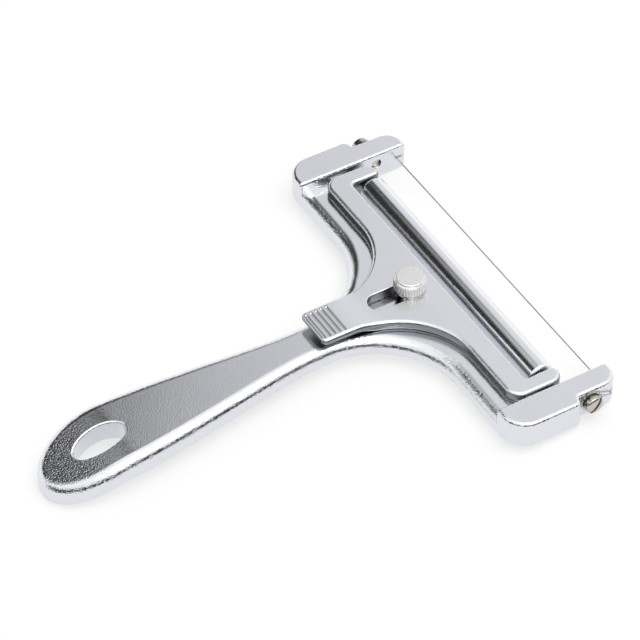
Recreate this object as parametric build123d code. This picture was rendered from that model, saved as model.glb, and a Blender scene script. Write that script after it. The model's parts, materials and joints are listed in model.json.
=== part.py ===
from build123d import *
import math
import os

# Adjustable wire cheese slicer. Millimetres. The head is drawn level: thumb
# screw axis at x = 0, cutting wire along y, +x towards the wire, the head's
# underside at z = 0. At the end the whole tool is tipped into the attitude in
# which it lies on a table.

# Frame casting: two cheeks joined by the arms, with the handle behind
cheek_gap = 105.0
cheek_width = 10.1
cheek_height = 9.0
cheek_front_x = 30.9
cheek_rear_corner_r = 7.5
cheek_tip_corner_r = 5.0
cheek_top_edge_r = 1.1
cheek_inner_edge_r = 0.9
arm_thickness = 5.4
arm_rear_x = -5.0
arm_front_x = 6.0
arm_sweep_r = 26.0
arm_overlap = 3.0
top_edge_r = 3.4
low_edge_r = 1.4

# Handle: outline from the neck to the belly and round the tip, then its middle
# line in side view. A pull is how far a curve keeps its end direction.
neck_half_width = 6.95
neck_x = -35.0
neck_pull = 12.0
belly_half_width = 13.25
belly_x = -98.0
belly_pull = 18.0
tip_x = -117.8
tip_side_pull = 12.0
tip_end_pull = 7.2
handle_thickness = 6.8
level_until_x = -16.0
level_pull = 20.0
slope_x = -94.0
slope_drop = 4.45
slope_run = 0.06
slope_pull = 22.0
tip_pull = 8.0
tip_drop = 12.7
tip_run = 0.42
hang_hole_length = 15.8
hang_hole_width = 8.8
hang_hole_x = -99.4
hang_hole_edge_r = 0.5

# Recess in each cheek's outer face, wire slit and screw hole
recess_rear_x = 16.9
recess_depth = 2.8
recess_outer_corner_r = 2.1
recess_inner_corner_r = 0.6
slit_height = 0.9
slit_gap = 0.05

# Cutting wire, with an eye at each end
wire_d = 0.4
wire_x = 27.8
wire_z = 4.9
wire_bend_r = 1.0
eye_r = 2.05
twist_d = 1.1
twist_length = 2.4
twist_rear_x = 24.3
twist_edge_r = 0.3

# Wire screws and their washers
wire_screw_x = 21.0
wire_screw_z = 5.4
wire_screw_d = 3.2
wire_screw_head_d = 5.4
wire_screw_head_h = 2.0
wire_screw_head_edge_r = 0.5
wire_screw_slot = 0.9
wire_screw_slot_depth = 0.9
wire_screw_end_inset = 0.7
wire_washer_d = 6.4

# Adjusting plate
plate_t = 3.1
plate_side_gap = 1.1
plate_rear_x = 1.7
plate_sweep_r = 22.7
plate_rear_corner_r = 4.5
plate_top_edge_r = 1.1
plate_low_edge_r = 0.9
window_rear_x = 8.9
window_corner_r = 1.0
lug_width = 5.4
lug_front_x = 18.3
lug_front_corner_r = 3.7
lug_inner_corner_r = 1.5
lug_low_z = 1.0
lug_rear_x = 11.8
lug_low_corner_r = 2.0
lug_low_edge_r = 0.4
tab_half_width = 6.8
tab_end_x = -32.1
tab_rise = 0.8
tab_thickness = 2.2
tab_ramp_x = -13.0
tab_level_x = -23.0
tab_corner_r = 1.7
tab_groove_count = 5
tab_groove_pitch = 1.62
tab_groove_margin = 0.5
tab_groove_r = 0.6
tab_groove_depth = 0.42
tab_groove_stop = 1.1
slot_half_width = 3.2
slot_rear_x = -13.5
slot_edge_r = 0.4

# Roller, its end plugs and axle
roller_d = 8.5
roller_x = 14.95
roller_z = 4.35
roller_wall = 0.8
roller_end_gap = 0.9
plug_flange = 1.4
plug_length = 6.0
plug_edge_r = 1.0
axle_d = 2.6
axle_end_inset = 0.2

# Thumb screw with its washer
stud_d = 5.0
stud_end_gap = 0.8
knob_d = 9.5
knob_h = 3.8
knob_base_chamfer = 0.6
knob_top_chamfer = 0.6
knob_disc_d = 8.2
knob_disc_rise = 0.5
knurl_count = 36
knurl_groove_r = 0.3
knob_disc_edge_r = 0.3
clamp_washer_d = 8.4
clamp_washer_t = 0.5
stud_in_knob = 2.6

# Clearances: on the radius between round parts, or between two flat faces
thread_gap = 0.05
seat_gap = 0.02
run_gap = 0.05
washer_gap = 0.1
face_gap = 0.05

# What follows from the sizes above
inner_y = cheek_gap / 2
outer_y = inner_y + cheek_width
recess_y = outer_y - recess_depth
arm_end_y = inner_y + arm_overlap
plate_bottom = arm_thickness + face_gap
plate_top = plate_bottom + plate_t
tab_top = plate_top + tab_rise
plate_half = inner_y - plate_side_gap
window_half = plate_half - lug_width
roller_half = window_half - roller_end_gap
clamp_z = plate_top + face_gap
knob_z = clamp_z + clamp_washer_t
head_y = recess_y + wire_bend_r + wire_d / 2 + face_gap
slot_front_x = stud_d / 2 + face_gap

# Cutting tools run this far, past every face of the slicer
wide = 400.0
# Where the cheek's outline starts, on its rear face between the arm's corners
cheek_start_y = inner_y + 0.2 * cheek_width


def tangent_loop(half):
    """A closed face from a half outline that starts and ends on the x axis."""
    return make_face(half + mirror(half, about=Plane.XZ))


def prism(face, low, high):
    """A plan face made solid between two heights."""
    return Pos(0, 0, low) * extrude(face, amount=high - low, dir=(0, 0, 1))


def both_sides(shape):
    return shape + mirror(shape, about=Plane.XZ)


def rod(radius, x, z, low_y, high_y):
    """A round bar along y."""
    bar = Cylinder(radius, high_y - low_y, rotation=(90, 0, 0))
    return Pos(x, (low_y + high_y) / 2, z) * bar


def block(low, high):
    """A box between two corners."""
    size = [b - a for a, b in zip(low, high)]
    middle = [(a + b) / 2 for a, b in zip(low, high)]
    return Pos(*middle) * Box(*size)


def edge_near(shape, point):
    return shape.edges().sort_by_distance(point)[0]


def arms_plan():
    tip = Bezier(
        (tip_x, 0),
        (tip_x, tip_end_pull),
        (belly_x - tip_side_pull, belly_half_width),
        (belly_x, belly_half_width),
    )
    grip = Bezier(
        (belly_x, belly_half_width),
        (belly_x + belly_pull, belly_half_width),
        (neck_x - neck_pull, neck_half_width),
        (neck_x, neck_half_width),
    )
    arm = FilletPolyline(
        (neck_x, neck_half_width),
        (arm_rear_x, neck_half_width),
        (arm_rear_x, arm_end_y),
        radius=arm_sweep_r,
    )
    front = Polyline((arm_rear_x, arm_end_y), (arm_front_x, arm_end_y), (arm_front_x, 0))
    return tangent_loop(tip + grip + arm + front)


def side_curve(level_z, offset):
    """Upper or lower line of the handle in side view, from the level part to the tip."""
    middle = arm_thickness / 2
    slope_z = middle - slope_drop + offset
    end_x = tip_x - 1
    end_z = middle - tip_drop + offset
    near = Bezier(
        (level_until_x, level_z),
        (level_until_x - level_pull, level_z),
        (slope_x + slope_pull, slope_z + slope_pull * slope_run),
        (slope_x, slope_z),
    )
    rest = Bezier(
        (slope_x, slope_z),
        (slope_x - tip_pull, slope_z - tip_pull * slope_run),
        (end_x + tip_pull, end_z + tip_pull * tip_run),
        (end_x, end_z),
    )
    return near + rest


def side_band():
    """Side view of the arms and handle, level in front and sloping to the tip."""
    front = arm_front_x + 1
    top = side_curve(arm_thickness, handle_thickness / 2)
    low = side_curve(0, -handle_thickness / 2)
    end = Line(*(tuple(line.vertices().sort_by(Axis.X)[0]) for line in (top, low)))
    head = Polyline(
        (level_until_x, 0), (front, 0), (front, arm_thickness), (level_until_x, arm_thickness)
    )
    return extrude(Plane.XZ * make_face(head + top + end + low), amount=wide / 2, both=True)


def arms():
    body = prism(arms_plan(), -wide, wide) & side_band()
    body = fillet(edge_near(body, (arm_rear_x, inner_y / 2, arm_thickness)), top_edge_r)
    body = fillet(edge_near(body, (arm_rear_x, inner_y / 2, 0)), low_edge_r)
    hole = Pos(hang_hole_x, 0) * Ellipse(hang_hole_length / 2, hang_hole_width / 2)
    body -= prism(hole, -wide, wide)
    rim = [e for e in body.edges() if on_hole(e)]
    return fillet(rim, hang_hole_edge_r)


def on_hole(edge):
    """True for an edge that runs along the rim of the hanging hole."""
    point = edge @ 0.5
    level = abs(edge.tangent_at(0.5).Z) < 0.5
    inside = abs(point.X - hang_hole_x) < hang_hole_length / 2 + 0.1
    return level and inside and abs(point.Y) < hang_hole_width / 2 + 0.1


def cheek():
    outline = FilletPolyline(
        (arm_rear_x, cheek_start_y),
        (arm_rear_x, outer_y),
        (recess_rear_x, outer_y),
        (recess_rear_x, recess_y),
        (cheek_front_x, recess_y),
        (cheek_front_x, inner_y),
        (arm_rear_x, inner_y),
        radius=[
            cheek_rear_corner_r,
            recess_outer_corner_r,
            recess_inner_corner_r,
            cheek_tip_corner_r,
            0,
        ],
    )
    closing = Line((arm_rear_x, inner_y), (arm_rear_x, cheek_start_y))
    body = prism(make_face(outline + closing), 0, cheek_height)
    body = fillet(edge_near(body, (0, outer_y, cheek_height)), cheek_top_edge_r)
    body = fillet(edge_near(body, (0, outer_y, 0)), low_edge_r)
    return fillet(edge_near(body, (0, inner_y, cheek_height)), cheek_inner_edge_r)


def frame():
    body = arms() + both_sides(cheek())
    body -= rod(wire_screw_d / 2 + thread_gap, wire_screw_x, wire_screw_z, -wide, wide)
    slit_back = wire_x - wire_d / 2 - slit_gap
    low = wire_z - slit_height / 2
    body -= block((slit_back, -wide, low), (wide, wide, low + slit_height))
    return body - Cylinder(stud_d / 2 + thread_gap, wide)


def ramp(level_z, tab_z):
    """A side-view line that leaves the plate level and reaches the tab level."""
    middle_x = (tab_ramp_x + tab_level_x) / 2
    return Bezier(
        (tab_ramp_x, level_z), (middle_x, level_z), (middle_x, tab_z), (tab_level_x, tab_z)
    )


def plate_band():
    """Side view of the plate, whose tab stands a little higher and thinner."""
    front = lug_front_x + 1
    end = tab_end_x - 1
    tab_low = tab_top - tab_thickness
    outline = (
        Polyline(
            (tab_ramp_x, plate_bottom), (front, plate_bottom), (front, plate_top), (tab_ramp_x, plate_top)
        )
        + ramp(plate_top, tab_top)
        + Polyline((tab_level_x, tab_top), (end, tab_top), (end, tab_low), (tab_level_x, tab_low))
        + ramp(plate_bottom, tab_low)
    )
    return extrude(Plane.XZ * make_face(outline), amount=wide / 2, both=True)


def tab_grooves():
    """Cutters of the thumb grooves across the tab, which stop short of its sides."""
    end = tab_half_width - tab_groove_stop - tab_groove_r
    z = tab_top + tab_groove_r - tab_groove_depth
    cutters = []
    for i in range(tab_groove_count):
        x = tab_end_x + tab_groove_margin + tab_groove_r + i * tab_groove_pitch
        cutter = rod(tab_groove_r, x, z, -end, end)
        for y in (-end, end):
            cutter += Pos(x, y, z) * Sphere(tab_groove_r)
        cutters.append(cutter)
    return cutters


def adjusting_plate():
    outline = FilletPolyline(
        (tab_end_x, 0),
        (tab_end_x, tab_half_width),
        (plate_rear_x, tab_half_width),
        (plate_rear_x, plate_half),
        (lug_front_x, plate_half),
        (lug_front_x, window_half),
        (window_rear_x, window_half),
        (window_rear_x, 0),
        radius=[
            tab_corner_r,
            plate_sweep_r,
            plate_rear_corner_r,
            lug_front_corner_r,
            lug_inner_corner_r,
            window_corner_r,
        ],
    )
    face = tangent_loop(outline)
    body = prism(face, 0, wide) & plate_band()
    body = fillet(edge_near(body, (plate_rear_x, window_half, plate_top)), plate_top_edge_r)
    body = fillet(edge_near(body, (plate_rear_x, window_half, plate_bottom)), plate_low_edge_r)
    side = block((lug_rear_x, -wide, lug_low_z), (wide, wide, plate_bottom + 1))
    side = fillet(edge_near(side, (lug_rear_x, 0, lug_low_z)), lug_low_corner_r)
    lugs = prism(face, lug_low_z, plate_bottom + 1) & side
    lugs = fillet(lugs.edges().group_by(Axis.Z)[0], lug_low_edge_r)
    body += lugs
    body -= tab_grooves()
    slot_length = slot_front_x - slot_rear_x
    slot = Pos(slot_rear_x + slot_length / 2, 0) * SlotOverall(slot_length, 2 * slot_half_width)
    body -= prism(slot, 0, wide)
    rim = [e for e in body.edges() if on_slot_rim(e)]
    body = fillet(rim, slot_edge_r)
    return body - rod(axle_d / 2 + seat_gap, roller_x, roller_z, -wide, wide)


def on_slot_rim(edge):
    point = edge @ 0.5
    inside = slot_rear_x - 0.1 < point.X < slot_front_x + 0.1
    flat = min(abs(point.Z - plate_top), abs(point.Z - plate_bottom)) < 0.01
    return inside and flat and abs(point.Y) < slot_half_width + 0.1


def roller_tube():
    end = roller_half - plug_flange
    outer = roller_d / 2
    body = rod(outer, roller_x, roller_z, -end, end)
    return body - rod(outer - roller_wall, roller_x, roller_z, -wide, wide)


def roller_plug():
    """The plug of the +y end."""
    inner_end = roller_half - plug_flange
    flange = rod(roller_d / 2, roller_x, roller_z, inner_end, roller_half)
    flange = fillet(flange.edges().sort_by(Axis.Y)[-1], plug_edge_r)
    bore_r = roller_d / 2 - roller_wall - seat_gap
    body = flange + rod(bore_r, roller_x, roller_z, roller_half - plug_length, inner_end)
    return body - rod(axle_d / 2 + run_gap, roller_x, roller_z, -wide, wide)


def roller_axle():
    end = plate_half - axle_end_inset
    return rod(axle_d / 2, roller_x, roller_z, -end, end)


def thumb_knob():
    ring = Circle(knob_d / 2) - PolarLocations(knob_d / 2, knurl_count) * Circle(knurl_groove_r)
    body = prism(ring, knob_z, knob_z + knob_h)
    envelope = Pos(0, 0, knob_z + knob_h / 2) * Cylinder(knob_d / 2, knob_h)
    envelope = chamfer(envelope.edges().sort_by(Axis.Z)[-1], knob_top_chamfer)
    envelope = chamfer(envelope.edges().sort_by(Axis.Z)[0], knob_base_chamfer)
    body &= envelope
    disc = Cylinder(knob_disc_d / 2, 2 * knob_disc_rise)
    disc = fillet(disc.edges().sort_by(Axis.Z)[-1], knob_disc_edge_r)
    body += Pos(0, 0, knob_z + knob_h) * disc
    bore_h = stud_in_knob + seat_gap
    return body - Pos(0, 0, knob_z + bore_h / 2) * Cylinder(stud_d / 2 + seat_gap, bore_h)


def thumb_stud():
    low = stud_end_gap
    high = knob_z + stud_in_knob
    return Pos(0, 0, (low + high) / 2) * Cylinder(stud_d / 2, high - low)


def clamp_washer():
    disc = Cylinder(clamp_washer_d / 2, clamp_washer_t - face_gap)
    bore = Cylinder(stud_d / 2 + washer_gap, wide)
    return Pos(0, 0, (clamp_z + knob_z - face_gap) / 2) * (disc - bore)


def cutting_wire():
    """The taut wire, bent rearward at each end to an eye round its screw."""
    side_y = recess_y + wire_bend_r
    eye_x = wire_screw_x + eye_r
    half = FilletPolyline((wire_x, 0), (wire_x, side_y), (eye_x, side_y), radius=wire_bend_r)
    path = Pos(0, 0, wire_z) * half
    start = Plane(origin=(wire_x, 0, wire_z), z_dir=(0, 1, 0))
    body = sweep(start * Circle(wire_d / 2), path=path)
    ring = Rot(90, 0, 0) * Torus(eye_r, wire_d / 2)
    body += Pos(wire_screw_x, side_y, wire_screw_z) * ring
    twist = Cylinder(twist_d / 2, twist_length, rotation=(0, 90, 0))
    twist = fillet(twist.edges().filter_by(GeomType.CIRCLE), twist_edge_r)
    body += Pos(twist_rear_x + twist_length / 2, side_y, wire_z) * twist
    return both_sides(body)


def wire_screw():
    """The screw of the +y side."""
    head_r = wire_screw_head_d / 2
    top = head_y + wire_screw_head_h
    head = rod(head_r, wire_screw_x, wire_screw_z, head_y, top)
    head = fillet(head.edges().sort_by(Axis.Y)[-1], wire_screw_head_edge_r)
    half = wire_screw_slot / 2
    head -= block(
        (wire_screw_x - half, top - wire_screw_slot_depth, -wide),
        (wire_screw_x + half, wide, wide),
    )
    low = inner_y + wire_screw_end_inset
    return head + rod(wire_screw_d / 2, wire_screw_x, wire_screw_z, low, head_y)


def wire_washer():
    """The washer of the +y side, between the recess and the wire's eye."""
    low = recess_y + face_gap
    high = recess_y + wire_bend_r - wire_d / 2 - face_gap
    ring = rod(wire_washer_d / 2, wire_screw_x, wire_screw_z, low, high)
    return ring - rod(wire_screw_d / 2 + washer_gap, wire_screw_x, wire_screw_z, -wide, wide)


def tipped(x, z, angle):
    return x * math.cos(angle) + z * math.sin(angle), z * math.cos(angle) - x * math.sin(angle)


def table_attitude(body):
    """Angle and shift that stand the head and the handle's tip on z = 0."""
    points = [(v.X, v.Z) for v in body.tessellate(0.02)[0]]
    low, high = 0.0, math.radians(10)
    for _ in range(40):
        angle = (low + high) / 2
        lowest = min((tipped(x, z, angle)[1], x) for x, z in points)
        if lowest[1] < neck_x:
            low = angle
        else:
            high = angle
    placed = [tipped(x, z, angle) for x, z in points]
    xs = [x for x, _ in placed]
    return angle, -(min(xs) + max(xs)) / 2, -min(z for _, z in placed)


def main():
    os.makedirs("parts", exist_ok=True)
    casting = frame()
    angle, dx, dz = table_attitude(casting)
    place = Pos(dx, 0, dz) * Rot(0, math.degrees(angle), 0)
    screw = wire_screw()
    washer = wire_washer()
    plug = roller_plug()
    parts = {
        "frame": casting,
        "adjusting_plate": adjusting_plate(),
        "roller_tube": roller_tube(),
        "roller_plug_left": plug,
        "roller_plug_right": mirror(plug, about=Plane.XZ),
        "roller_axle": roller_axle(),
        "thumb_knob": thumb_knob(),
        "thumb_stud": thumb_stud(),
        "clamp_washer": clamp_washer(),
        "cutting_wire": cutting_wire(),
        "wire_screw_left": screw,
        "wire_screw_right": mirror(screw, about=Plane.XZ),
        "wire_washer_left": washer,
        "wire_washer_right": mirror(washer, about=Plane.XZ),
    }
    for name, part in parts.items():
        export_step(place * part, f"parts/{name}.step")
    print("tilt", math.degrees(angle), "shift", dx, dz)
    print("slide axis", math.cos(angle), 0, -math.sin(angle))
    print("screw axis", math.sin(angle), 0, math.cos(angle))
    marks = {
        "thumb screw on the plate": (0, clamp_z),
        "roller axis": (roller_x, roller_z),
        "wire": (wire_x, wire_z),
        "wire screw": (wire_screw_x, wire_screw_z),
        "hanging hole": (hang_hole_x, 0),
        "head underside": (cheek_front_x / 2, 0),
    }
    for name, (x, z) in marks.items():
        px, pz = tipped(x, z, angle)
        print(name, round((px + dx) / 1000, 6), round((pz + dz) / 1000, 6))


if __name__ == "__main__":
    main()
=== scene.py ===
import json
import math

import bmesh
import bpy
from mathutils import Matrix, Vector


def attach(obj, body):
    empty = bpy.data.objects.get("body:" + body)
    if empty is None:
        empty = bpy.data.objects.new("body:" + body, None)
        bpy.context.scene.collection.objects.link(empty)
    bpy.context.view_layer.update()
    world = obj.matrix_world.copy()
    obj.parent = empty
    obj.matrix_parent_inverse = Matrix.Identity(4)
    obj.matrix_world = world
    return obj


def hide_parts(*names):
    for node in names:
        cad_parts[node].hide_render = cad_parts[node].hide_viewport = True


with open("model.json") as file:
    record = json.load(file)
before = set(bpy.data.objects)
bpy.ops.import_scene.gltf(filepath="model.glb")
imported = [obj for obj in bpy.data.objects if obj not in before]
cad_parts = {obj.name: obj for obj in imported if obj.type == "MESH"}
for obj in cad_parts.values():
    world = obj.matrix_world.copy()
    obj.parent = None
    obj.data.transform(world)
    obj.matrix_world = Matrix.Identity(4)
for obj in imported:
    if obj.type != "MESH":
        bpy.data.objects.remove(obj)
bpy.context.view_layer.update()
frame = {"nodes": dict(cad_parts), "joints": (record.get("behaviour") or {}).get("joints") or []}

# Adjustable wire cheese slicer: a chromed die casting with a sliding plate, a
# roller, a thumb screw and a taut cutting wire. Pieces are drawn in millimetres
# in the head's own level frame, and head_place turns them into the scene's metres.

MM = 0.001
UM = 0.000001

joints = {joint["name"]: joint for joint in frame["joints"]}
thumb_seat_z = 8.6
ahead = Vector(joints["plate_slide"]["axis"])
up = Vector(joints["clamp_lift"]["axis"])
across = Vector((0, 1, 0))

# The head's frame as one matrix: x ahead to the wire, y to the left cheek, z up
head_place = Matrix([[a * MM for a in row] for row in zip(ahead, across, up)]).to_4x4()
head_place.translation = Vector(joints["thumb_turn"]["pos_m"]) - up * thumb_seat_z * MM


def linear(code):
    """An sRGB hex colour as linear RGBA."""
    channels = [int(code[i : i + 2], 16) / 255 for i in (1, 3, 5)]
    return [c / 12.92 if c <= 0.04045 else ((c + 0.055) / 1.055) ** 2.4 for c in channels] + [1]


def add(tree, kind, inputs=(), **settings):
    """A node with its settings; inputs are (name or number, value or another node's output)."""
    node = tree.nodes.new(kind)
    for name, value in settings.items():
        setattr(node, name, value)
    for name, value in inputs:
        if isinstance(value, bpy.types.NodeSocket):
            tree.links.new(value, node.inputs[name])
        else:
            node.inputs[name].default_value = value
    return node


# Stage: camera at the photo's viewing angle, a white table and surround, one soft
# box overhead, and shaded cards that only reflections see, as a studio uses them to
# draw the edges of chrome. Table and surround are pure white to the camera and in
# reflections, and light the piece less than that, so its shadow stays

scene = bpy.context.scene
scene.view_settings.view_transform = "Standard"
camera_data = bpy.data.cameras.new("camera")
camera_data.lens = 192.0357
camera_data.sensor_width = 36.0
camera = bpy.data.objects.new("camera", camera_data)
scene.collection.objects.link(camera)
camera.location = (-0.272359, -0.581736, 0.708376)
camera.rotation_euler = [math.radians(a) for a in (42.97021, 4.21016, -30.79185)]
scene.camera = camera


def background_rays(tree):
    """1 for the rays that see the background: the camera's, and those metal sends out."""
    rays = add(tree, "ShaderNodeLightPath")
    seen = rays.outputs["Is Camera Ray"]
    for name in ("Is Glossy Ray", "Is Transmission Ray"):
        both = add(tree, "ShaderNodeMath", [(0, seen), (1, rays.outputs[name])], operation="MAXIMUM")
        seen = both.outputs["Value"]
    return seen


surround_light = 0.68
table_light = 0.58

world = bpy.data.worlds.new("studio")
scene.world = world
world.use_nodes = True
tree = world.node_tree
tree.nodes.clear()
world_level = add(
    tree, "ShaderNodeMapRange",
    [("Value", background_rays(tree)), ("To Min", surround_light), ("To Max", 1.0)],
)
sky = add(
    tree, "ShaderNodeBackground",
    [("Strength", world_level.outputs["Result"]), ("Color", linear("#FFFFFF"))],
)
add(tree, "ShaderNodeOutputWorld", [("Surface", sky.outputs["Background"])])

lamp = bpy.data.lights.new("soft_box", "AREA")
lamp.shape = "RECTANGLE"
lamp.size, lamp.size_y = 1.6, 1.1
lamp.energy = 10.0
soft_box = bpy.data.objects.new("soft_box", lamp)
scene.collection.objects.link(soft_box)
soft_box.location = (0.25, -0.55, 1.5)
soft_box.rotation_euler = (-soft_box.location).to_track_quat("-Z", "Y").to_euler()

floor_half = 3.0
floor_mesh = bpy.data.meshes.new("table")
corners = [(-1, -1), (1, -1), (1, 1), (-1, 1)]
floor_mesh.from_pydata([(x * floor_half, y * floor_half, 0) for x, y in corners], [], [(0, 1, 2, 3)])
table = bpy.data.objects.new("table", floor_mesh)
scene.collection.objects.link(table)
table_paint = bpy.data.materials.new("white_table")
table_paint.use_nodes = True
tree = table_paint.node_tree
paint = tree.nodes["Principled BSDF"]
paint.inputs["Base Color"].default_value = linear("#B4B4B4")
paint.inputs["Roughness"].default_value = 0.9
paint.inputs["Specular IOR Level"].default_value = 0.0
paint.inputs["Emission Color"].default_value = linear("#FFFFFF")
table_glow = add(
    tree, "ShaderNodeMath", [(0, background_rays(tree)), (1, table_light)], operation="MULTIPLY"
)
tree.links.new(table_glow.outputs["Value"], paint.inputs["Emission Strength"])
floor_mesh.materials.append(table_paint)

card_distance = 2.0
card_rows = 12
card_columns = 96
card_blue = 1.03


def card(name, start, end, low, high, fade, levels):
    """A card that stands round the object between two azimuths (degrees, 0 is +Y and
    90 is +X) and two elevations. It fades out over the shares fade of its width (left,
    right) and height (low, high); levels are its brightness at azimuths."""
    mesh = bmesh.new()
    uv = mesh.loops.layers.uv.new("card")
    spots = {}
    for i in range(card_columns + 1):
        for j in range(card_rows + 1):
            u, v = i / card_columns, j / card_rows
            a = math.radians(start + (end - start) * u)
            e = math.radians(low + (high - low) * v)
            place = Vector((math.sin(a) * math.cos(e), math.cos(a) * math.cos(e), math.sin(e)))
            spots[mesh.verts.new(place * card_distance)] = (u, v)
    mesh.verts.ensure_lookup_table()
    step = card_rows + 1
    for i in range(card_columns):
        for j in range(card_rows):
            first = i * step + j
            ring = [mesh.verts[n] for n in (first, first + step, first + step + 1, first + 1)]
            face = mesh.faces.new(ring)
            for loop in face.loops:
                loop[uv].uv = spots[loop.vert]
    data = bpy.data.meshes.new(name)
    mesh.to_mesh(data)
    mesh.free()

    material = bpy.data.materials.new(name)
    material.use_nodes = True
    tree = material.node_tree
    tree.nodes.clear()
    place = add(tree, "ShaderNodeUVMap", uv_map="card")
    axes = add(tree, "ShaderNodeSeparateXYZ", [("Vector", place.outputs["UV"])])
    cover = 1.0
    left, right, bottom, top = fade
    for axis, edge, inner in (("X", 0, left), ("X", 1, 1 - right), ("Y", 0, bottom), ("Y", 1, 1 - top)):
        ramp = add(
            tree, "ShaderNodeMapRange",
            [("Value", axes.outputs[axis]), ("From Min", edge), ("From Max", inner)],
            interpolation_type="SMOOTHSTEP",
        )
        product = add(
            tree, "ShaderNodeMath", [(0, cover), (1, ramp.outputs["Result"])], operation="MULTIPLY"
        )
        cover = product.outputs["Value"]
    shades = add(tree, "ShaderNodeValToRGB", [("Fac", axes.outputs["X"])])
    stops = shades.color_ramp.elements
    stops.remove(stops[1])
    for azimuth, level in levels:
        stop = stops.new((azimuth - start) / (end - start))
        stop.color = (level, level, level * card_blue, 1)
    stops.remove(stops[0])
    glow = add(tree, "ShaderNodeEmission", [("Color", shades.outputs["Color"])])
    clear = add(tree, "ShaderNodeBsdfTransparent")
    mix = add(
        tree, "ShaderNodeMixShader",
        [("Fac", cover), (1, clear.outputs["BSDF"]), (2, glow.outputs["Emission"])],
    )
    add(tree, "ShaderNodeOutputMaterial", [("Surface", mix.outputs["Shader"])])
    data.materials.append(material)

    piece = bpy.data.objects.new(name, data)
    scene.collection.objects.link(piece)
    piece.visible_camera = False
    piece.visible_diffuse = False
    piece.visible_transmission = False
    piece.visible_shadow = False


card(
    "back_card", -50, 62, 19, 64, fade=(0.035, 0.12, 0.08, 0.37),
    levels=[
        (-46, 0.03), (12, 0.03), (19, 0.05), (21.5, 0.14), (22.7, 0.37), (23.6, 0.5), (24.6, 0.57),
        (26, 0.58), (29, 0.555), (31, 0.59), (33.3, 0.73), (36, 0.76), (61, 0.78),
    ],
)
card("front_card", 120, 300, 2, 30, fade=(0.1, 0.1, 0.08, 0.3), levels=[(121, 0.02), (299, 0.02)])


# Finishes. Flats, rims and walls are told apart by how far up their normal points, as a cosine.
# Walls and undersides take a painted shade colour for the shade they stand in: it begins at the first
# wall bound below and is one in full from the second down, and a rim likewise, whether it looks up or
# down

drift_mm = 9
wall_shade_begins, wall_shade_full = 0.85, 0.45
rim_begins, rim_full = 0.992, 0.955

# A Mix node's colour sockets, which share their names with those of its other types
mix_a, mix_b, mix_result = 6, 7, 2


def metal(
    name, light, shade, roughness, spread, grain_mm, grain_um,
    rim_um=None, wave_mm=None, wave_um=None, painted_wall_shade=None,
):
    """A bare or plated metal. Its colour drifts at random between light and shade over some
    millimetres, and may turn to a painted shade colour on upright walls and undersides, for the shade
    they stand in.
    Its roughness wanders by spread. The grain has a width and a height, which grows to rim_um where
    the surface turns away from level, and the wave is a broad unevenness under it."""
    material = bpy.data.materials.new(name)
    material.use_nodes = True
    tree = material.node_tree
    shader = tree.nodes["Principled BSDF"]
    shader.inputs["Metallic"].default_value = 1.0
    place = add(tree, "ShaderNodeTexCoord").outputs["Object"]

    drift = add(
        tree, "ShaderNodeTexNoise",
        [("Vector", place), ("Scale", 1 / (drift_mm * MM)), ("Detail", 2.0)],
    )
    tone = add(
        tree, "ShaderNodeMix",
        [("Factor", drift.outputs["Fac"]), (mix_a, linear(light)), (mix_b, linear(shade))],
        data_type="RGBA",
    )
    geometry = add(tree, "ShaderNodeNewGeometry")
    normal = add(tree, "ShaderNodeSeparateXYZ", [("Vector", geometry.outputs["Normal"])])
    # Painted shade: upright walls and undersides, picked out by their normal, turn to a darker colour
    if painted_wall_shade:
        upright = add(
            tree, "ShaderNodeMapRange",
            [("Value", normal.outputs["Z"]), ("From Min", wall_shade_begins), ("From Max", wall_shade_full)],
        )
        tone = add(
            tree, "ShaderNodeMix",
            [("Factor", upright.outputs["Result"]), (mix_a, tone.outputs[mix_result]),
             (mix_b, linear(painted_wall_shade))],
            data_type="RGBA",
        )
    tree.links.new(tone.outputs[mix_result], shader.inputs["Base Color"])

    grain = add(
        tree, "ShaderNodeTexNoise",
        [("Vector", place), ("Scale", 1 / (grain_mm * MM)), ("Detail", 0.5)],
    ).outputs["Fac"]
    rough = add(
        tree, "ShaderNodeMapRange",
        [("Value", grain), ("From Min", 0.3), ("From Max", 0.7),
         ("To Min", roughness - spread), ("To Max", roughness + spread)],
    )
    tree.links.new(rough.outputs["Result"], shader.inputs["Roughness"])

    bump = add(tree, "ShaderNodeBump", [("Height", grain), ("Distance", grain_um * UM)])
    if rim_um:
        level = add(tree, "ShaderNodeMath", [(0, normal.outputs["Z"])], operation="ABSOLUTE")
        height = add(
            tree, "ShaderNodeMapRange",
            [("Value", level.outputs["Value"]), ("From Min", rim_begins), ("From Max", rim_full),
             ("To Min", grain_um * UM), ("To Max", rim_um * UM)],
        )
        tree.links.new(height.outputs["Result"], bump.inputs["Distance"])
    if wave_um:
        wave = add(
            tree, "ShaderNodeTexNoise",
            [("Vector", place), ("Scale", 1 / (wave_mm * MM)), ("Detail", 1.0)],
        )
        bump = add(
            tree, "ShaderNodeBump",
            [("Height", wave.outputs["Fac"]), ("Normal", bump.outputs["Normal"]),
             ("Distance", wave_um * UM)],
        )
    tree.links.new(bump.outputs["Normal"], shader.inputs["Normal"])
    return material


# Bright chrome plated over a linished zinc die casting: the flats mirror softly,
# and the rims and the curled handle end keep the casting's blasted grain and sparkle.
# The real grain is finer than a pixel, so here and below it is drawn as coarse as it
# needs to show
# Its walls and undersides are painted slightly darker, as painted shade
chrome = metal(
    "chrome_on_die_casting", "#F1F2F5", "#E9EAEE", 0.17, 0.04, 0.42, 14.0,
    rim_um=85.0, wave_mm=7.0, wave_um=10.0, painted_wall_shade="#DFE1E6",
)
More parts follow.
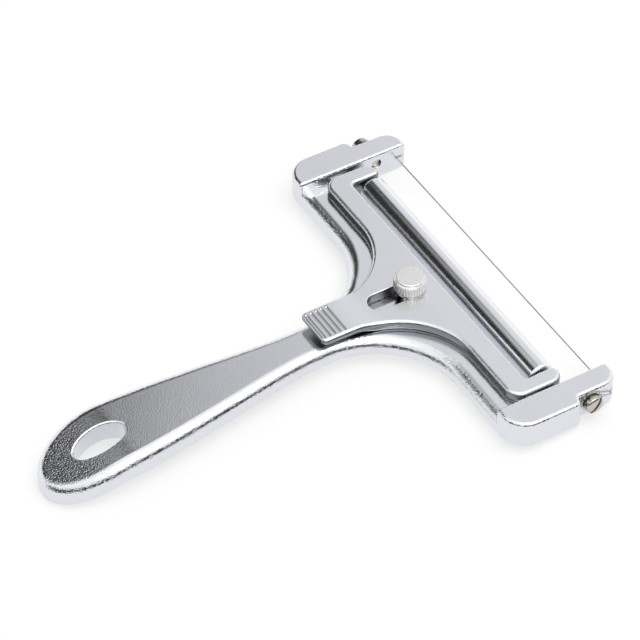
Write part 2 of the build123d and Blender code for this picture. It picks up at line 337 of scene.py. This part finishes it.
# The same plating on the sliding plate, less buffed, so it mirrors more softly, and painted
# grey on its walls and underside as painted shade, so the gaps round it read dark
plate_chrome = metal(
    "chrome_on_sliding_plate", "#F1F2F5", "#E8EAEE", 0.24, 0.03, 0.5, 10.0,
    rim_um=50.0, wave_mm=7.0, wave_um=10.0, painted_wall_shade="#8D8F92",
)
# Stainless tube, centreless-ground and buffed: long clean bands lie along it
roller_steel = metal("buffed_stainless_tube", "#F5F6F9", "#EEF0F4", 0.11, 0.03, 0.5, 6.0)
# Nickel plate over turned brass, barrel-tumbled: pale, satin, with small dents, and
# painted a shade darker down its ribbed side as painted shade
nickel = metal("satin_nickel_plate", "#FBFBFA", "#F2F1F0", 0.3, 0.08, 0.46, 24.0, painted_wall_shade="#D2D1D0")
# Zinc-plated steel of the screws, washers, stud and axle: greyer and less even than
# the casting
screw_steel = metal("zinc_plated_steel", "#D6D2CC", "#A8A49D", 0.15, 0.05, 0.4, 10.0)
# Hard-drawn stainless wire: grey, with drawing lines too fine to see singly
wire_steel = metal("drawn_stainless_wire", "#C4C4C6", "#B0B0B3", 0.3, 0.04, 0.2, 2.0)

finishes = {
    chrome: ("frame",),
    plate_chrome: ("adjusting_plate",),
    roller_steel: ("roller_tube", "roller_plug_left", "roller_plug_right"),
    nickel: ("thumb_knob",),
    screw_steel: ("roller_axle", "clamp_washer", "wire_washer_left", "wire_washer_right"),
}
for material, nodes in finishes.items():
    for node in nodes:
        for slot in frame["nodes"][node].material_slots:
            slot.material = material


# Pieces

smooth_angle = math.radians(32)


def finished(name, data, place, material, slot, body, *nodes):
    """A mesh in millimetres, put in its place in the scene as a piece that rides on
    body and stands for the CAD nodes."""
    data.transform(head_place @ place)
    data.materials.clear()
    data.materials.append(material)
    data.polygons.foreach_set("use_smooth", [True] * len(data.polygons))
    data.set_sharp_from_angle(angle=smooth_angle)
    data.name = name
    piece = bpy.data.objects.new(name, data)
    scene.collection.objects.link(piece)
    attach(piece, body)
    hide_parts(*nodes)


def evaluated(data, *modifiers):
    """The mesh after modifiers, each a (kind, settings) pair, as a plain mesh."""
    blank = bpy.data.objects.new("blank", data)
    scene.collection.objects.link(blank)
    for kind, settings in modifiers:
        modifier = blank.modifiers.new(kind.lower(), kind)
        for name, value in settings.items():
            if name in modifier.bl_rna.properties:
                setattr(modifier, name, value)
            else:
                modifier[name] = value
    graph = bpy.context.evaluated_depsgraph_get()
    result = bpy.data.meshes.new_from_object(blank.evaluated_get(graph))
    bpy.data.objects.remove(blank)
    return result


def lathe(profile, sides):
    """A turned shape from (radius, height) points, the first and last on the axis."""
    mesh = bmesh.new()
    rings = []
    for radius, z in profile:
        if radius == 0:
            rings.append([mesh.verts.new((0, 0, z))] * sides)
        else:
            turns = [2 * math.pi * i / sides for i in range(sides)]
            rings.append([
                mesh.verts.new((radius * math.cos(a), radius * math.sin(a), z)) for a in turns
            ])
    for low, high in zip(rings, rings[1:]):
        for i in range(sides):
            j = (i + 1) % sides
            mesh.faces.new(dict.fromkeys((low[i], low[j], high[j], high[i])))
    bmesh.ops.recalc_face_normals(mesh, faces=mesh.faces)
    data = bpy.data.meshes.new("turned")
    mesh.to_mesh(data)
    mesh.free()
    return data


def tube(points, radius, sides=12):
    """A round wire that follows the points, with closed ends."""
    mesh = bmesh.new()
    rings = []
    side = Vector((0, 0, 1))
    for i, point in enumerate(points):
        before = points[max(i - 1, 0)]
        after = points[min(i + 1, len(points) - 1)]
        along = (after - before).normalized()
        side = (side - along * side.dot(along)).normalized()
        other = along.cross(side)
        turns = [2 * math.pi * k / sides for k in range(sides)]
        rings.append([
            mesh.verts.new(point + radius * (side * math.cos(a) + other * math.sin(a))) for a in turns
        ])
    for one, two in zip(rings, rings[1:]):
        for k in range(sides):
            m = (k + 1) % sides
            mesh.faces.new((one[k], one[m], two[m], two[k]))
    mesh.faces.new(reversed(rings[0]))
    mesh.faces.new(rings[-1])
    bmesh.ops.recalc_face_normals(mesh, faces=mesh.faces)
    data = bpy.data.meshes.new("wire")
    mesh.to_mesh(data)
    mesh.free()
    return data


# Cutting wire: taut between the slits, bent back over each cheek's recess, round its
# screw in an eye, and the tail wrapped three times round the wire itself
wire_r = 0.2
wire_x, wire_z = 27.8, 4.9
screw_x, screw_z = 21.0, 5.4
recess_y = 59.8
eye_centre = Vector((screw_x, 60.82, screw_z))
eye_r = 1.86
eye_open = 0.75
eye_out = 0.02
eye_lead = 0.3
eye_steps = 48
bend_r = 0.6
bend_steps = 8
wrap_from_eye = 2.6
wrap_first = -0.6
wrap_turns = 3.0
wrap_pitch = 0.44
wrap_steps = 60
wrap_r = 0.39


def wire_end():
    """Middle line of one end, from the slit's bend to the tail's cut end."""
    corner = Vector((wire_x, recess_y + bend_r, wire_z))
    flat = Vector((eye_centre.x - corner.x, 0, eye_centre.z - corner.z))
    dip = math.asin(eye_r / flat.length)
    heading = math.atan2(flat.z, flat.x) + dip
    foot = Vector((
        eye_centre.x + eye_r * math.sin(heading),
        eye_centre.y,
        eye_centre.z - eye_r * math.cos(heading),
    ))
    run = (foot - corner).normalized()
    points = []
    # The bend, from along the slit to along the run
    start = Vector((0, 1, 0))
    for i in range(bend_steps + 1):
        t = i / bend_steps
        near = corner - start * bend_r
        far = corner + run * bend_r
        points.append(near * (1 - t) ** 2 + corner * 2 * t * (1 - t) + far * t * t)
    points.append(foot - run * eye_lead)
    # Round the screw, upwards past its front, and a little outwards so it clears itself
    first = math.atan2(foot.z - eye_centre.z, foot.x - eye_centre.x)
    sweep = -(2 * math.pi - eye_open)
    for i in range(eye_steps + 1):
        t = i / eye_steps
        a = first + sweep * t
        points.append(Vector((
            eye_centre.x + eye_r * math.cos(a),
            eye_centre.y + eye_out * t,
            eye_centre.z + eye_r * math.sin(a),
        )))
    # The tail winds round the run, away from the eye
    upright = (Vector((0, 1, 0)) - run * run.y).normalized()
    aside = run.cross(upright)
    wrap_start = foot - run * wrap_from_eye
    for i in range(wrap_steps + 1):
        t = i / wrap_steps
        a = wrap_first + 2 * math.pi * wrap_turns * t
        centre = wrap_start - run * wrap_pitch * wrap_turns * t
        points.append(centre + wrap_r * (upright * math.sin(a) + aside * math.cos(a)))
    return points


half = wire_end()
mirrored = [Vector((p.x, -p.y, p.z)) for p in half]
finished(
    "cutting_wire_wound", tube(mirrored[::-1] + half, wire_r), Matrix(), wire_steel,
    "wire_steel", "frame_body", "cutting_wire",
)


rod_sides = 40
rings_per_pitch = 8.0
groove_begins, groove_full = 0.08, 0.42


def threaded_rod(diameter, pitch, depth, length):
    """A rod along z, centred, with a screw thread and a chamfer at each end, made by
    Geometry Nodes: a round bar's points are drawn in by a helical wave."""
    tree = bpy.data.node_groups.new("screw_thread", "GeometryNodeTree")
    tree.interface.new_socket("Geometry", in_out="OUTPUT", socket_type="NodeSocketGeometry")
    sizes = {"Diameter": diameter, "Pitch": pitch, "Depth": depth, "Length": length}
    settings = {"node_group": tree}
    for name, value in sizes.items():
        socket = tree.interface.new_socket(name, in_out="INPUT", socket_type="NodeSocketFloat")
        settings[socket.identifier] = value
    socket = tree.interface.new_socket("Metal", in_out="INPUT", socket_type="NodeSocketMaterial")
    settings[socket.identifier] = screw_steel
    given = add(tree, "NodeGroupInput").outputs

    def maths(operation, *values):
        node = add(tree, "ShaderNodeMath", enumerate(values), operation=operation)
        return node.outputs["Value"]

    radius = maths("MULTIPLY", given["Diameter"], 0.5)
    rings = maths("MULTIPLY", maths("DIVIDE", given["Length"], given["Pitch"]), rings_per_pitch)
    bar = add(
        tree, "GeometryNodeMeshCylinder",
        [("Vertices", rod_sides), ("Side Segments", rings), ("Radius", radius),
         ("Depth", given["Length"])],
    )
    point = add(tree, "GeometryNodeInputPosition")
    spot = add(tree, "ShaderNodeSeparateXYZ", [("Vector", point.outputs["Position"])]).outputs
    turn = maths("DIVIDE", maths("ARCTAN2", spot["Y"], spot["X"]), 2 * math.pi)
    wave = maths("PINGPONG", maths("SUBTRACT", maths("DIVIDE", spot["Z"], given["Pitch"]), turn), 0.5)
    groove = add(
        tree, "ShaderNodeMapRange",
        [("Value", wave), ("From Min", groove_begins), ("From Max", groove_full)],
    )
    to_end = maths("SUBTRACT", maths("MULTIPLY", given["Length"], 0.5), maths("ABSOLUTE", spot["Z"]))
    cut = maths("MULTIPLY", groove.outputs["Result"], given["Depth"])
    chamfer = maths("MAXIMUM", maths("SUBTRACT", given["Depth"], to_end), 0.0)
    drawn_in = maths("SUBTRACT", radius, maths("MAXIMUM", cut, chamfer))
    share = maths("DIVIDE", drawn_in, radius)
    moved = add(
        tree, "ShaderNodeCombineXYZ",
        [("X", maths("MULTIPLY", spot["X"], share)), ("Y", maths("MULTIPLY", spot["Y"], share)),
         ("Z", spot["Z"])],
    )
    shaped = add(
        tree, "GeometryNodeSetPosition",
        [("Geometry", bar.outputs["Mesh"]), ("Position", moved.outputs["Vector"])],
    )
    real = add(tree, "GeometryNodeRealizeInstances", [("Geometry", shaped.outputs["Geometry"])])
    dressed = add(
        tree, "GeometryNodeSetMaterial",
        [("Geometry", real.outputs["Geometry"]), ("Material", given["Metal"])],
    )
    add(tree, "NodeGroupOutput", [("Geometry", dressed.outputs["Geometry"])])
    return evaluated(bpy.data.meshes.new("rod"), ("NODES", settings))


# Thumb stud: an M5 thread from just above the frame's underside into the knob
stud_low, stud_high = 0.8, 11.7
finished(
    "thumb_stud_threaded",
    threaded_rod(diameter=5.0, pitch=0.8, depth=0.43, length=stud_high - stud_low),
    Matrix.Translation((0, 0, (stud_low + stud_high) / 2)), screw_steel,
    "screw_steel", "thumb_body", "thumb_stud",
)

# Wire screws: slotted, domed heads on a fine thread, each left where its slot stopped
head_seat_y = 61.05
head_r, head_h = 2.7, 2.0
head_sides = 64
head_edge = 0.12
shank_length = 7.85
shank_in_head = 0.05
slot_width, slot_depth = 0.9, 0.9
dome_h = 1.0
dome_roundness = 0.8
dome_steps = 10
head_profile = [(0, 0), (head_r - head_edge, 0), (head_r, head_edge), (head_r, head_h - dome_h)]
for i in range(1, dome_steps):
    a = math.pi / 2 * i / dome_steps
    head_profile.append((
        head_r * math.cos(a) ** dome_roundness, head_h - dome_h + dome_h * math.sin(a)
    ))
head_profile.append((0, head_h))


def wire_screw(side, slot_turn):
    """The screw of one side: head and threaded shank in one, with its slot sawn out."""
    shank = threaded_rod(diameter=3.2, pitch=0.5, depth=0.27, length=shank_length)
    shank.transform(Matrix.Translation((0, 0, shank_in_head - shank_length / 2)))
    saw = bmesh.new()
    bmesh.ops.create_cube(saw, size=1.0)
    bmesh.ops.scale(saw, vec=(slot_width, 4 * head_r, 2 * slot_depth), verts=saw.verts)
    bmesh.ops.translate(saw, vec=(0, 0, head_h), verts=saw.verts)
    saw_mesh = bpy.data.meshes.new("saw")
    saw.to_mesh(saw_mesh)
    saw.free()
    tools = [bpy.data.objects.new("tool", mesh) for mesh in (shank, saw_mesh)]
    for tool in tools:
        scene.collection.objects.link(tool)
    screw = evaluated(
        lathe(head_profile, head_sides),
        ("BOOLEAN", {"operation": "UNION", "object": tools[0]}),
        ("BOOLEAN", {"operation": "DIFFERENCE", "object": tools[1]}),
    )
    for tool in tools:
        bpy.data.objects.remove(tool)
    outward = Vector((0, 1, 0)) * (1 if side == "left" else -1)
    slot_across = Vector((math.cos(slot_turn), 0, math.sin(slot_turn)))
    place = Matrix(list(zip(slot_across, outward.cross(slot_across), outward))).to_4x4()
    place.translation = (screw_x, outward.y * head_seat_y, screw_z)
    finished(
        f"wire_screw_{side}_slotted", screw, place, screw_steel,
        "screw_steel", "frame_body", f"wire_screw_{side}",
    )


wire_screw("left", math.radians(25))
wire_screw("right", math.radians(-40))
